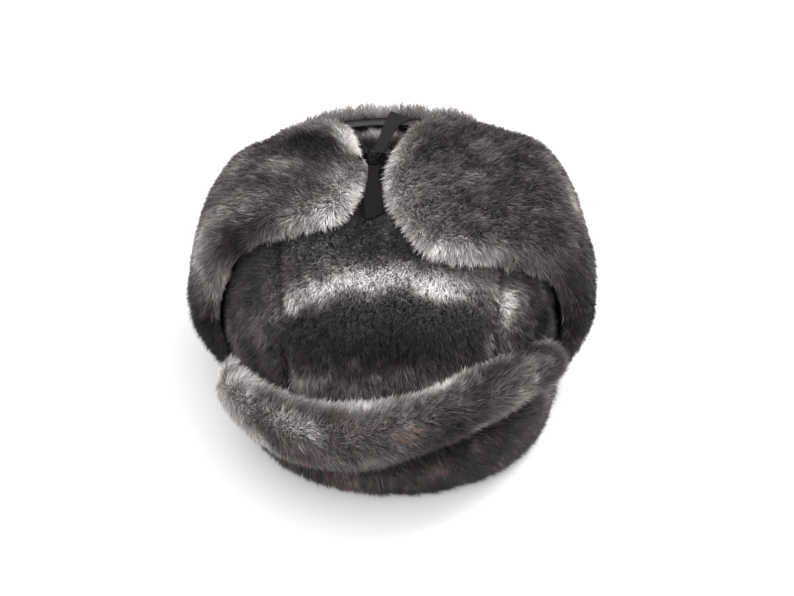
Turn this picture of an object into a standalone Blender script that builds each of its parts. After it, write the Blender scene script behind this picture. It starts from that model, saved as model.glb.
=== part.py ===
"""Fur ushanka lying on its rim, with the ear flaps turned up and tied over the crown.

Metres, +Z up, the visor at -Y, the origin under the middle of the hat on the surface that it lies on.
Each fur piece is a pad between two faces of one family of shells: the crown's rounded shell, grown outwards
or inwards. A place on a pad is a ray from the middle of the rim, and an offset from the crown's outer face.
"""

import math

import bpy
import numpy as np

# Left and right are the wearer's: left is +X
LEFT, RIGHT = 1, -1

# Crown
HEAD_WIDTH = 0.160
HEAD_LENGTH = 0.192
CROWN_HEIGHT = 0.134
CROWN_WALL = 0.014
PLAN_POWER = 2.2
PROFILE_POWER = 3.7
CENTER_PANEL_WIDTH = 0.148
RIM_TUCK = 0.12
RIM_TUCK_HEIGHT = 0.075
LEAN = 0.004
SEAM_GAP = 0.0009
SEAM_DEPTH = 0.005
SEAM_ROUNDING = 0.015
SIDE_SHOULDER = 0.27

# Flaps and visor
PAD_GAP = 0.0006
PAD_EDGE = 0.005
PAD_ROUNDING = 0.016
JOIN_ROUNDING = 0.009
LEFT_FLAP_THICKNESS = 0.021
RIGHT_FLAP_THICKNESS = 0.019
EAR_FLAP_STAND_OFF = 0.005
LEFT_CORNER_FULLNESS = 0.005
RIGHT_CORNER_FULLNESS = 0.006
NECK_FLAP_HEIGHT = 0.131
NECK_FLAP_THICKNESS = 0.021
NECK_FLAP_STAND_OFF = 0.008
VISOR_HEIGHT = 0.080
VISOR_THICKNESS = 0.024
VISOR_BASE_THICKNESS = 0.015
VISOR_CREASE_DEPTH = 0.009
VISOR_CREASE_SHARE = 0.4
FLAP_JOIN_GAP = 0.0010
VISOR_END_GAP = 0.027

# Fur locks on the outer faces
LOCK_LENGTH = 0.034
LOCK_WIDTH = 0.022
LOCK_DEPTH = 0.0022

# Tie ribbon
RIBBON_WIDTH = 0.0115
RIBBON_THICKNESS = 0.0008
RIBBON_GAP = 0.0002
KNOT_WIDTH = 0.009
KNOT_LENGTH = 0.012
KNOT_HEIGHT = 0.007
KNOT_WAIST = 0.72
KNOT_CORNER_POWER = 3.0
KNOT_END_SHARE = 0.25

# Grids: how much their lines crowd towards edges, and the steps along an arch that its lengths are read from
EDGE_CROWDING = 0.55
ARCH_STEPS = 721

# Outline of an ear flap from its fold at the rim, 0, to its end, 1.
# Front and back edge as shares of the crown's half length.
EDGE_COLUMNS = ("share", "front", "back")
EAR_EDGES = {
    LEFT: (
        (0.0, -0.24, 0.60),
        (0.35, -0.24, 0.62),
        (0.54, -0.31, 0.66),
        (0.74, -0.46, 0.69),
        (1.0, -0.56, 0.72),
    ),
    RIGHT: (
        (0.0, -0.22, 0.60),
        (0.35, -0.21, 0.62),
        (0.6, -0.23, 0.66),
        (0.8, -0.28, 0.69),
        (1.0, -0.32, 0.72),
    ),
}

# How far an ear flap reaches, across it from front to back, in ways from the rim to the crown's top.
REACH_COLUMNS = ("share", "reach")
EAR_REACH = {
    LEFT: (
        (0.0, 0.82),
        (0.07, 0.91),
        (0.19, 0.968),
        (0.34, 1.012),
        (0.52, 1.025),
        (0.66, 1.0),
        (0.84, 0.951),
        (0.95, 0.90),
        (1.0, 0.82),
    ),
    RIGHT: (
        (0.0, 0.76),
        (0.09, 0.87),
        (0.27, 0.915),
        (0.46, 0.94),
        (0.6, 0.92),
        (0.76, 0.90),
        (0.92, 0.86),
        (1.0, 0.78),
    ),
}

# An ear flap's stand-off, thickness and back corner's fullness along it, as shares of their named sizes.
PAD_COLUMNS = ("share", "stand_off", "thickness", "corner")
EAR_BODY = (
    (0.0, 0.0, 0.50, 0.0),
    (0.1, 0.2, 0.68, 0.0),
    (0.19, 0.6, 0.94, 0.0),
    (0.3, 0.9, 0.98, 0.1),
    (0.42, 0.7, 1.00, 0.9),
    (0.56, 0.5, 1.02, 0.8),
    (0.75, 0.3, 0.82, 0.0),
    (1.0, 0.3, 0.80, 0.0),
)

# The neck flap's upper edge from one end to the other, as a share of its height.
NECK_TOP = ((0.0, 0.84), (0.12, 0.92), (0.3, 0.98), (0.5, 1.0), (0.7, 0.98), (0.88, 0.92), (1.0, 0.84))

# The visor from its right end to its left: upper edge and crease as shares of its height, and its thickness
# as a share of the full one.
VISOR_COLUMNS = ("share", "top", "crease", "body")
VISOR_EDGES = (
    (0.0, 0.64, 0.20, 0.72),
    (0.12, 0.74, 0.26, 0.90),
    (0.28, 0.82, 0.27, 1.0),
    (0.45, 0.93, 0.38, 1.0),
    (0.6, 1.02, 0.58, 1.0),
    (0.75, 1.10, 0.68, 0.98),
    (0.88, 1.02, 0.66, 0.90),
    (1.0, 0.78, 0.56, 0.74),
)

# Soft dents of the crown, with columns x, y, z, radius and depth: the place as shares of its half width, half
# length and height, the radius as a share of its half width and the depth as a share of its wall.
CROWN_DENTS = (
    (0.05, -0.36, 0.98, 0.29, 0.36),
    (-0.30, -0.66, 0.80, 0.19, 0.14),
    (0.34, -0.62, 0.80, 0.17, 0.16),
    (-0.10, -0.92, 0.62, 0.32, 0.21),
    (0.50, -0.88, 0.60, 0.19, 0.13),
    (-0.72, -0.62, 0.62, 0.19, 0.16),
)

# Tape routes: points across the hat and along it from the knot's end as shares of the half sizes, height
# over its outer face in tape widths, the turn of the tape's width from the X axis in degrees, and its width
# as a share. Both tails end in a slanted cut, so their last rows are turned and wide.
RIBBON_COLUMNS = ("x", "y", "rise", "turn", "width")
KNOT_PLACE = (-0.093, 0.16)
KNOT_RISE = 0.78
TAIL_FRONT = (
    (-0.092, 0.0, 1.08, 2, 0.5),
    (-0.094, -0.06, 0.80, 4, 0.6),
    (-0.096, -0.13, 0.48, 6, 0.8),
    (-0.094, -0.20, 0.20, 9, 1.0),
    (-0.086, -0.28, -0.02, 33, 1.15),
)
TAIL_BACK = (
    (-0.066, 0.0, 1.12, -2, 0.5),
    (-0.044, 0.10, 1.05, -4, 0.62),
    (-0.024, 0.20, 1.00, -6, 0.66),
    (0.004, 0.31, 1.05, -14, 0.85),
    (0.060, 0.43, 1.20, -34, 1.42),
)

EAR_FLAP_THICKNESS = {LEFT: LEFT_FLAP_THICKNESS, RIGHT: RIGHT_FLAP_THICKNESS}
CORNER_FULLNESS = {LEFT: LEFT_CORNER_FULLNESS, RIGHT: RIGHT_CORNER_FULLNESS}

# The rim is drawn in from the shells by its tuck, so the head's size at the rim sets the crown above it
HALF_WIDTH = HEAD_WIDTH / 2 / (1 - RIM_TUCK) + CROWN_WALL
HALF_LENGTH = HEAD_LENGTH / 2 / (1 - RIM_TUCK) + CROWN_WALL
SHARES = np.array([HALF_WIDTH, HALF_LENGTH, CROWN_HEIGHT])

# The crown's place, with the whole hat's middle at the origin
CROWN_X = LEAN - (LEFT_FLAP_THICKNESS - RIGHT_FLAP_THICKNESS) / 2
CROWN_Y = (VISOR_THICKNESS - NECK_FLAP_THICKNESS) / 2


def column(rows, columns, name, at):
    """A smooth curve through one column of a table, read at shares of its first column."""
    table = np.array(rows)
    x, y = table[:, 0], table[:, columns.index(name)]
    slope = np.gradient(y, x)
    low = np.clip(np.searchsorted(x, at, side="right") - 1, 0, len(x) - 2)
    step = x[low + 1] - x[low]
    t = (at - x[low]) / step
    rise = y[low + 1] - y[low]
    bend = slope[low] * step * t * (1 - t) ** 2 - slope[low + 1] * step * t**2 * (1 - t)
    return y[low] + rise * t * t * (3 - 2 * t) + bend


def shell_point(aim, grow):
    """Where the ray from the rim's middle along aim meets the crown's outer face grown by grow.

    The shell is ((x/a)^q + (y/b)^q)^(p/q) + (z/c)^p = 1, with the plan power q and the profile power p.
    """
    grow = np.broadcast_to(grow, aim.shape[:-1])[..., None]
    x, y, z = np.moveaxis(np.abs(aim) / (SHARES + grow), -1, 0)
    plan = (x**PLAN_POWER + y**PLAN_POWER) ** (PROFILE_POWER / PLAN_POWER)
    level = (plan + z**PROFILE_POWER) ** (1 / PROFILE_POWER)
    return aim / level[..., None]


def arch(half, share):
    """Points of a profile arch at even ways along it: 0 at the rim, 1 at the top and 2 at the rim beyond."""
    turn = np.linspace(0, math.pi, ARCH_STEPS)
    across = half * np.sign(np.cos(turn)) * np.abs(np.cos(turn)) ** (2 / PROFILE_POWER)
    up = CROWN_HEIGHT * np.abs(np.sin(turn)) ** (2 / PROFILE_POWER)
    way = np.append(0, np.cumsum(np.hypot(np.diff(across), np.diff(up))))
    at = np.asarray(share) * way[-1] / 2
    return np.interp(at, way, across), np.interp(at, way, up)


def edge_spaced(count):
    """Shares from 0 to 1 that lie closer together near both ends."""
    even = np.linspace(0, 1, count)
    return even - np.sin(2 * math.pi * even) * EDGE_CROWDING / (2 * math.pi)


def rounded(distance, radius):
    """0 on an edge, rising as a quarter circle to 1 at radius from it."""
    near = np.clip(1 - distance / radius, 0, 1)
    return np.sqrt(1 - near * near)


def way_along(points, axis):
    """Distance from the first point, along one axis of a grid of points."""
    step = np.linalg.norm(np.diff(points, axis=axis), axis=-1)
    start = np.zeros_like(np.take(step, [0], axis=axis))
    return np.concatenate([start, np.cumsum(step, axis=axis)], axis=axis)


def edge_rounding(points, radii):
    """Share of the full thickness over a grid: 0 on its rounded edges, 1 inside.

    The radii are those of the first and last edge along each axis, and an edge of radius 0 isn't rounded.
    """
    share = np.ones(points.shape[:2])
    for axis in (0, 1):
        way = way_along(points, axis)
        whole = np.take(way, [-1], axis=axis)
        for distance, radius in zip((way, whole - way), radii[2 * axis : 2 * axis + 2]):
            if radius:
                share = share * rounded(distance, radius)
    return share


def fur_locks(points):
    """Height of staggered locks of fur over a grid of points, from 0 to the depth of a lock."""
    along = way_along(points, 0) / LOCK_LENGTH
    across = way_along(points, 1) / LOCK_WIDTH
    stagger = along + 0.5 * np.floor(across)
    crest = np.abs(np.sin(math.pi * across)) * (0.5 + 0.5 * np.cos(2 * math.pi * stagger))
    return LOCK_DEPTH * crest


def crown_dents(points):
    """How deep the crown's soft dents are at each point."""
    depth = np.zeros(points.shape[:2])
    for x, y, z, radius, deep in CROWN_DENTS:
        place = np.array([x, y, z]) * SHARES
        away = np.linalg.norm(points - place, axis=-1) / (radius * HALF_WIDTH)
        depth = depth + deep * CROWN_WALL * np.exp(-(away**2))
    return depth


def grid_faces(rows, columns, first, flip):
    """The quads of a grid whose vertices start at first."""
    i, j = np.meshgrid(np.arange(rows - 1), np.arange(columns - 1), indexing="ij")
    corner = (first + i * columns + j).ravel()
    quads = np.stack([corner, corner + columns, corner + columns + 1, corner + 1], -1)
    return quads[:, ::-1] if flip else quads


def border(rows, columns):
    """The vertices round a grid, in order."""
    index = np.arange(rows * columns).reshape(rows, columns)
    return np.concatenate([index[0, :-1], index[:-1, -1], index[-1, :0:-1], index[:0:-1, 0]])


def settled(points):
    """The points as the hat lies: its rim drawn in by the tuck, its crown leaning to the wearer's right."""
    x, y, z = np.moveaxis(points, -1, 0)
    low = np.clip(1 - z / RIM_TUCK_HEIGHT, 0, 1) ** 2
    drawn = 1 - RIM_TUCK * low
    return np.stack([x * drawn + CROWN_X - LEAN * (1 - low), y * drawn + CROWN_Y, z], -1)


def closed_pad(name, outer, inner, finish):
    """One closed solid between two grids of points, joined round their borders."""
    rows, columns = outer.shape[:2]
    points = settled(np.concatenate([outer.reshape(-1, 3), inner.reshape(-1, 3)]))
    ring = border(rows, columns)
    back = ring + rows * columns
    wall = np.stack([ring, np.roll(ring, -1), np.roll(back, -1), back], -1)
    faces = np.concatenate([
        grid_faces(rows, columns, 0, False),
        grid_faces(rows, columns, rows * columns, True),
        wall,
    ])
    corners = points[faces]
    middle = corners.mean(axis=1)
    normal = np.cross(corners[:, 2] - corners[:, 0], corners[:, 3] - corners[:, 1])
    if np.sum(middle * normal) < 0:
        faces = faces[:, ::-1]
    mesh = bpy.data.meshes.new(name)
    mesh.from_pydata(points.tolist(), [], faces.tolist())
    mesh.validate()
    mesh.shade_smooth()
    mesh.set_sharp_from_angle(angle=math.radians(50))
    mesh.materials.append(finish)
    solid = bpy.data.objects.new(name, mesh)
    bpy.context.scene.collection.objects.link(solid)
    return solid


def fur_panel(name, aim, rounding, finish):
    """One panel of the crown: a wall between the head's hollow and the crown's outer face."""
    surface = shell_point(aim, 0.0)
    clear_of_rim = np.clip(surface[..., 2] / RIM_TUCK_HEIGHT, 0, 1)
    sunk = (LOCK_DEPTH - fur_locks(surface)) * clear_of_rim + crown_dents(surface)
    outer = shell_point(aim, -SEAM_DEPTH * (1 - rounding) - sunk * rounding)
    inner = shell_point(aim, -CROWN_WALL)
    return closed_pad(name, outer, inner, finish)


def seam_aim(share, side, inset):
    """Rays along a crown seam: 0 at the front rim, 1 at the back rim."""
    along, up = arch(HALF_LENGTH, 2 * np.asarray(share))
    across = np.full_like(along, side * (CENTER_PANEL_WIDTH / 2 + inset))
    return np.stack([across, -along, up], -1)


def crown_center(finish):
    """The panel that runs from the front rim over the top to the back rim."""
    across = 2 * edge_spaced(15) - 1
    share = edge_spaced(31)
    left = seam_aim(share, LEFT, -SEAM_GAP / 2)
    aim = left[:, None, :] * np.ones((1, len(across), 1))
    aim[..., 0] *= across
    surface = shell_point(aim, 0.0)
    rounding = edge_rounding(surface, (0, 0, SEAM_ROUNDING, SEAM_ROUNDING))
    return fur_panel("crown_center", aim, rounding, finish)


def crown_side(name, side, finish):
    """A side panel: a patch blended between the seam and the rim.

    Its four borders are the rim and the seam up the front wall, over the top and down the back.
    """
    u = edge_spaced(17)[:, None]
    v = edge_spaced(11)[None, :]
    front = seam_aim(SIDE_SHOULDER * v, side, SEAM_GAP / 2)
    back = seam_aim(1 - SIDE_SHOULDER * v, side, SEAM_GAP / 2)
    top = seam_aim(SIDE_SHOULDER + (1 - 2 * SIDE_SHOULDER) * u, side, SEAM_GAP / 2)
    start = math.atan2(front[0, 0, 1] / HALF_LENGTH, side * front[0, 0, 0] / HALF_WIDTH)
    turn = start * (1 - 2 * u)
    rim = np.stack([side * HALF_WIDTH * np.cos(turn), HALF_LENGTH * np.sin(turn), 0 * turn], -1)
    scale = np.hypot(front[0, 0, 0] / HALF_WIDTH, front[0, 0, 1] / HALF_LENGTH)
    rim = rim * scale
    u, v = u[..., None], v[..., None]
    ends = (1 - u) * front + u * back
    sides = (1 - v) * rim + v * top
    low = (1 - u) * front[:, :1] + u * back[:, :1]
    high = (1 - u) * front[:, -1:] + u * back[:, -1:]
    aim = ends + sides - (1 - v) * low - v * high
    rounding = edge_rounding(shell_point(aim, 0.0), (SEAM_ROUNDING, SEAM_ROUNDING, 0, SEAM_ROUNDING))
    return fur_panel(name, aim, rounding, finish)


def ear_aim(side, along, across):
    """Rays of an ear flap: along it from the rim over the shoulder to its end, across from front to back."""
    reach = column(EAR_REACH[side], REACH_COLUMNS, "reach", across)
    x, z = arch(HALF_WIDTH, along * reach)
    front = column(EAR_EDGES[side], EDGE_COLUMNS, "front", along)
    back = column(EAR_EDGES[side], EDGE_COLUMNS, "back", along)
    y = HALF_LENGTH * (front + (back - front) * across)
    return np.stack(np.broadcast_arrays(side * x, y, z), -1)


def ear_flap(name, side, finish):
    """An ear flap, folded up from the rim and laid over the crown towards the middle of its top."""
    along = edge_spaced(29)[:, None]
    across = edge_spaced(19)[None, :]
    aim = ear_aim(side, along, across)
    stand_off = column(EAR_BODY, PAD_COLUMNS, "stand_off", along)
    thickness = column(EAR_BODY, PAD_COLUMNS, "thickness", along)
    corner = CORNER_FULLNESS[side] * column(EAR_BODY, PAD_COLUMNS, "corner", along)
    full = EAR_FLAP_THICKNESS[side] * thickness + corner * across**2
    inner = PAD_GAP + EAR_FLAP_STAND_OFF * stand_off + 0 * across
    surface = shell_point(aim, inner + full)
    rounding = edge_rounding(surface, (PAD_ROUNDING, PAD_ROUNDING, PAD_ROUNDING, JOIN_ROUNDING))
    full = full - PAD_EDGE
    outer = inner + PAD_EDGE + full * rounding + fur_locks(surface) * rounding
    return closed_pad(name, shell_point(aim, outer), shell_point(aim, inner), finish)


def bearing(aim):
    """The turn of rays round the hat from +X, and their rise over the rim, by the crown's half sizes."""
    x, y, z = np.moveaxis(aim / SHARES, -1, 0)
    return np.arctan2(y, np.abs(x)), z / np.hypot(x, y)


def beside_ear(side, across, height):
    """The bearing of an ear flap's front edge, 0, or back edge, 1, at heights up the wall."""
    turn, rise = bearing(ear_aim(side, np.linspace(0, 0.75, 40), np.full(40, float(across))))
    return np.interp(height / CROWN_HEIGHT, rise, turn)


def wall_aim(turn, height):
    """Rays to the wall at a bearing and a height."""
    x, y, z = np.broadcast_arrays(HALF_WIDTH * np.cos(turn), HALF_LENGTH * np.sin(turn), height)
    return np.stack([x, y, z], -1)


def neck_flap(finish):
    """The flap that stands up round the back between the ear flaps."""
    across = edge_spaced(27)[:, None]
    up = edge_spaced(13)[None, :]
    height = NECK_FLAP_HEIGHT * column(NECK_TOP, REACH_COLUMNS, "reach", across) * up
    gap = FLAP_JOIN_GAP / HALF_LENGTH
    left = beside_ear(LEFT, 1, height) + gap
    right = math.pi - beside_ear(RIGHT, 1, height) - gap
    aim = wall_aim(left + (right - left) * across, height)
    inner = PAD_GAP + NECK_FLAP_STAND_OFF * up**2 + 0 * across
    surface = shell_point(aim, inner + NECK_FLAP_THICKNESS)
    rounding = edge_rounding(surface, (JOIN_ROUNDING, JOIN_ROUNDING, PAD_ROUNDING, PAD_ROUNDING))
    full = NECK_FLAP_THICKNESS - PAD_GAP - NECK_FLAP_STAND_OFF * up**2 - PAD_EDGE
    outer = inner + PAD_EDGE + full * rounding + fur_locks(surface.swapaxes(0, 1)).T * rounding
    return closed_pad("neck_flap", shell_point(aim, outer), shell_point(aim, inner), finish)


def front_visor(finish):
    """The turned-up visor: a low base under a thick roll, with a crease between that climbs to the left."""
    fold = VISOR_CREASE_SHARE
    across = edge_spaced(31)[:, None]
    up = np.append(fold * edge_spaced(7), fold + (1 - fold) * edge_spaced(10)[1:])[None, :]
    top = VISOR_HEIGHT * column(VISOR_EDGES, VISOR_COLUMNS, "top", across)
    crease = VISOR_HEIGHT * column(VISOR_EDGES, VISOR_COLUMNS, "crease", across)
    roll = crease + (top - crease) * (up - fold) / (1 - fold)
    height = np.where(up < fold, crease * up / fold, roll)
    gap = VISOR_END_GAP / HALF_LENGTH
    right = math.pi - beside_ear(RIGHT, 0, height) + gap
    left = 2 * math.pi + beside_ear(LEFT, 0, height) - gap
    aim = wall_aim(right + (left - right) * across, height)
    inner = PAD_GAP + 0 * (across + up)
    surface = shell_point(aim, inner + VISOR_THICKNESS)
    rounding = edge_rounding(surface, (PAD_ROUNDING, PAD_ROUNDING, PAD_ROUNDING, PAD_ROUNDING))
    step = np.clip((up - fold) * VISOR_HEIGHT / PAD_ROUNDING, 0, 1)
    body = VISOR_BASE_THICKNESS + (VISOR_THICKNESS - VISOR_BASE_THICKNESS) * step
    groove = VISOR_CREASE_DEPTH * (1 - rounded(np.abs(height - crease), PAD_ROUNDING))
    share = column(VISOR_EDGES, VISOR_COLUMNS, "body", across)
    full = (body - groove - PAD_GAP) * share - PAD_EDGE
    outer = inner + PAD_EDGE + full * rounding + fur_locks(surface.swapaxes(0, 1)).T * rounding
    return closed_pad("front_visor", shell_point(aim, outer), shell_point(aim, inner), finish)


def ribbon(name, rows, end, finish):
    """A flat woven tape laid along its route from the front, -1, or back end, 1, of the knot."""
    x, y, rise, turn, width = (np.array(rows)[:, RIBBON_COLUMNS.index(key)] for key in RIBBON_COLUMNS)
    start = KNOT_PLACE[1] * HALF_LENGTH + end * (KNOT_LENGTH / 2 + RIBBON_GAP)
    aim = np.stack([x * HALF_WIDTH, y * HALF_LENGTH + start, np.full_like(x, CROWN_HEIGHT)], -1)
    centre = shell_point(aim, RIBBON_WIDTH * rise)
    angle = np.radians(turn)
    side = np.stack([np.cos(angle), np.sin(angle), 0 * angle], -1)
    along = np.gradient(centre, axis=0)
    normal = np.cross(side, along)
    normal /= np.linalg.norm(normal, axis=1)[:, None]
    normal *= np.sign(normal[:, 2:])
    across = np.linspace(-0.5, 0.5, 3)[None, :, None] * RIBBON_WIDTH * width[:, None, None]
    middle = centre[:, None, :] + side[:, None, :] * across
    half = normal[:, None, :] * RIBBON_THICKNESS / 2
    return closed_pad(name, middle + half, middle - half, finish)


def tie_knot(finish):
    """The knot between the flap tips: a rounded cushion of wound tape."""
    aim = np.array([KNOT_PLACE[0] * HALF_WIDTH, KNOT_PLACE[1] * HALF_LENGTH, CROWN_HEIGHT])
    centre = shell_point(aim, RIBBON_WIDTH * KNOT_RISE + KNOT_HEIGHT / 2)
    rings, sides = 9, 16
    turn = np.linspace(0, 2 * math.pi, sides + 1)[:-1][None, :]
    along = np.linspace(-1, 1, rings)[:, None]
    waist = KNOT_WAIST + (1 - KNOT_WAIST) * np.cos(math.pi * along) ** 2
    end = np.sqrt(np.clip(1 - along**4, KNOT_END_SHARE**2, 1))
    power = 2 / KNOT_CORNER_POWER
    x = KNOT_WIDTH / 2 * waist * end * np.sign(np.cos(turn)) * np.abs(np.cos(turn)) ** power
    z = KNOT_HEIGHT / 2 * waist * end * np.sign(np.sin(turn)) * np.abs(np.sin(turn)) ** power
    y = KNOT_LENGTH / 2 * along + 0 * turn
    points = settled((np.stack([x, y, z], -1) + centre).reshape(-1, 3))
    i, j = np.meshgrid(np.arange(rings - 1), np.arange(sides), indexing="ij")
    a, b = (i * sides + j).ravel(), (i * sides + (j + 1) % sides).ravel()
    faces = np.stack([a, b, b + sides, a + sides], -1).tolist()
    faces += [list(range(sides))[::-1], list(range((rings - 1) * sides, rings * sides))]
    mesh = bpy.data.meshes.new("tie_knot")
    mesh.from_pydata(points.tolist(), [], faces)
    mesh.flip_normals()
    mesh.shade_smooth()
    mesh.materials.append(finish)
    solid = bpy.data.objects.new("tie_knot", mesh)
    bpy.context.scene.collection.objects.link(solid)
    return solid


def material(name, colour, roughness):
    """A plain finish: colour as linear red, green and blue."""
    made = bpy.data.materials.new(name)
    made.use_nodes = True
    surface = made.node_tree.nodes["Principled BSDF"]
    surface.inputs["Base Color"].default_value = (*colour, 1)
    surface.inputs["Roughness"].default_value = roughness
    surface.inputs["Metallic"].default_value = 0.0
    made.diffuse_color = (*colour, 1)
    return made


def main():
    """Clears the scene and makes the hat."""
    for old in list(bpy.data.objects):
        bpy.data.objects.remove(old)
    fur = material("grey_fur", (0.085, 0.080, 0.080), 0.9)
    tape = material("black_tape", (0.012, 0.011, 0.012), 0.6)
    crown_center(fur)
    crown_side("crown_side_left", LEFT, fur)
    crown_side("crown_side_right", RIGHT, fur)
    ear_flap("ear_flap_left", LEFT, fur)
    ear_flap("ear_flap_right", RIGHT, fur)
    neck_flap(fur)
    front_visor(fur)
    ribbon("tie_tail_front", TAIL_FRONT, -1, tape)
    ribbon("tie_tail_back", TAIL_BACK, 1, tape)
    tie_knot(tape)


main()
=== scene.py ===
"""Looks of a fur ushanka lying on its rim, its ear flaps tied over the crown. Metres, +Z up, visor at -Y.

Each fur piece is a pelt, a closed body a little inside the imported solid, and a coat of strands grown from it.
The pelts are worked out as the solids are: rays from the middle of the rim meet a shell at an offset.
"""

import math

import bpy
import numpy as np
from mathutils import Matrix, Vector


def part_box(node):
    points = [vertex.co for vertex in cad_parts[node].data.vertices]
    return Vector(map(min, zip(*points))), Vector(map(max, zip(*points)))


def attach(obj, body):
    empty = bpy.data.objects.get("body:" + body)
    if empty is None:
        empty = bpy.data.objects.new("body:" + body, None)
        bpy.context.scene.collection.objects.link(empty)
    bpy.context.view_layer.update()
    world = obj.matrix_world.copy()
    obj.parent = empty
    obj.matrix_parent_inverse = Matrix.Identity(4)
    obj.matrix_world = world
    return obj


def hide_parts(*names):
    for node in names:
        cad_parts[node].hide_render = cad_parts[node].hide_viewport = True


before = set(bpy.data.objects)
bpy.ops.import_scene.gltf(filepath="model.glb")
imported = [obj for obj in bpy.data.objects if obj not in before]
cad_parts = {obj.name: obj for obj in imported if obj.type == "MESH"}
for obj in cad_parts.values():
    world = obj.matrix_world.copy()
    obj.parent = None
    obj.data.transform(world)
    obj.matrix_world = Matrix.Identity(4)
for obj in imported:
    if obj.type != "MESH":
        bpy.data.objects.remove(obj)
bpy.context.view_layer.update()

LEFT, RIGHT = 1, -1

# Sizes of the solids, as in the part's source
HEAD_WIDTH = 0.160
HEAD_LENGTH = 0.192
CROWN_HEIGHT = 0.134
CROWN_WALL = 0.014
PLAN_POWER = 2.2
PROFILE_POWER = 3.7
CENTER_PANEL_WIDTH = 0.148
RIM_TUCK = 0.12
RIM_TUCK_HEIGHT = 0.075
LEAN = 0.004
SEAM_GAP = 0.0009
SEAM_DEPTH = 0.005
SEAM_ROUNDING = 0.015
PAD_GAP = 0.0006
PAD_ROUNDING = 0.016
JOIN_ROUNDING = 0.009
EAR_FLAP_THICKNESS = {LEFT: 0.021, RIGHT: 0.019}
EAR_FLAP_STAND_OFF = 0.005
CORNER_FULLNESS = {LEFT: 0.005, RIGHT: 0.006}
NECK_FLAP_HEIGHT = 0.131
NECK_FLAP_THICKNESS = 0.021
NECK_FLAP_STAND_OFF = 0.008
VISOR_HEIGHT = 0.080
VISOR_THICKNESS = 0.024
VISOR_BASE_THICKNESS = 0.015
VISOR_CREASE_DEPTH = 0.009
VISOR_CREASE_SHARE = 0.4
FLAP_JOIN_GAP = 0.0010
VISOR_END_GAP = 0.027
SHOULDER = 0.27

# Grids of the pelts: rows and columns, and the shares of both ways at which some start and end
PELT_GRIDS = {
    "crown_center": (68, 32),
    "crown_side": (42, 26),
    "ear_flap": (64, 48, (0.0, 0.03), (0.977, 0.97)),
    "neck_flap": (64, 32, (0.015, 0.0), (0.985, 1.0)),
    "front_visor": (84, 44, (0.02, 0.0), (0.98, 0.96)),
}
ARCH_SAMPLES = 721
EAR_SAMPLES = 200
EDGE_SAMPLES = 40
EAR_WALL_END = 0.75

# How deep the pelts lie under the solids' faces. The crown's pile is cropped, so its pelt lies higher.
PILE_DEPTH = 0.0052
PELT_EDGE = 0.0015
CROWN_PELT_RISE = 0.001
CROWN_PELT_SUNK = 0.8
SHARP_ANGLE = 50

# Where flaps cover the crown: shares of an ear flap's two ways, and margins below the upper edges
EAR_COVER_END = 0.94
EAR_COVER_FRONT = 0.05
EAR_COVER_BACK = 1.1
VISOR_COVER_MARGIN = 0.012
NECK_COVER_MARGIN = 0.030
NECK_FUR_END = 0.93

# The pile's tones on a ramp: greys from 0 to GREY_END, then browns
GREY_END = 0.76
BROWN_START = 0.83
BROWN_RANGE = 0.16
BROWN_GAIN = 1.6
PILE_TONES = (
    (0.0, "#1b1618"),
    (0.18, "#484143"),
    (0.40, "#8d8785"),
    (GREY_END, "#f3efed"),
    (0.82, "#54453f"),
    (1.0, "#a08a7e"),
)
ROOT_COLOUR = "#171415"
UNDERFUR_DIMNESS = 0.05
GROUND_DIMNESS = 0.10
# Painted shade: the visor's low base, under the roll, is darker by this much, fading over a share of its
# height.
VISOR_BASE_SHADE = -0.21
VISOR_BASE_FADE = 0.12
# Painted shade: the crown's pile darkens along the flaps' edges and the visor's top, within a reach and a
# share.
PAINTED_CREASE_SHADE = -0.34
CREASE_REACH = 0.007
CREASE_SHARE = 0.06
EDGE_REACH = 0.006
EDGE_FADE = 1.6
SEAM_REACH = 0.0034
CLUMP_TONE = 0.07
TONE_SPREAD = 0.05
PATCH_SPREAD = 0.09
STRAY_SHARE = 0.004
STRAY_TONE = 0.18

# Noises: how strong each is, the size of its lattice, and its step from the piece's seed
TONE_NOISE = ((0.09, 0.024, 1), (0.10, 0.012, 2), (0.08, 0.005, 3))
FLECK_STRENGTH = 0.50
FLECK_LEVEL = 0.40
FLECK_NOISE = (0.0045, 7)
SWIRL = math.radians(34)
SWIRL_NOISE = ((SWIRL, 0.022, 4), (SWIRL, 0.009, 5))
LEAN_NOISE = ((12, 0.016, 6),)
RAGGED_NOISE = (0.011, 8)

# Numbers that mix a lattice cell and a seed into a random value
CELL_MIX_X = 73856093
CELL_MIX_Y = 19349663
CELL_MIX_Z = 83492791
SEED_MIX = 2654435761
LAST_MIX = 1274126177
SEED_SHIFT = 71.3
CLUMP_SALTS = (11, 23, 37, 53)

# The strands' sizes and how clumps pull them together, in metres and shares
STRAND_LENGTH = 0.0084
STRAND_WIDTH = 0.00050
UNDERFUR_LENGTH = 0.86 * STRAND_LENGTH
UNDERFUR_WIDTH = 0.00085
UNDERFUR_PER_STRAND = 1.86
STRAY_LENGTH = 0.25
LENGTH_SPREAD = 0.13
CLUMP_LENGTH = 0.12
CLUMP_SIZE = 0.0036
PULL_AT_BEND = 0.10
PULL_AT_TIP = 0.28
ROOT_DEPTH = 0.0006
LOW_PART = 0.55
HIGH_PART = 0.45
LEAST_WIDTH = 0.75
WIDTH_RANGE = 0.5
WIDTH_AT_BEND = 0.8
FLOOR_GAP = 0.0004
FLOOR_RANGE = 0.0008

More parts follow.
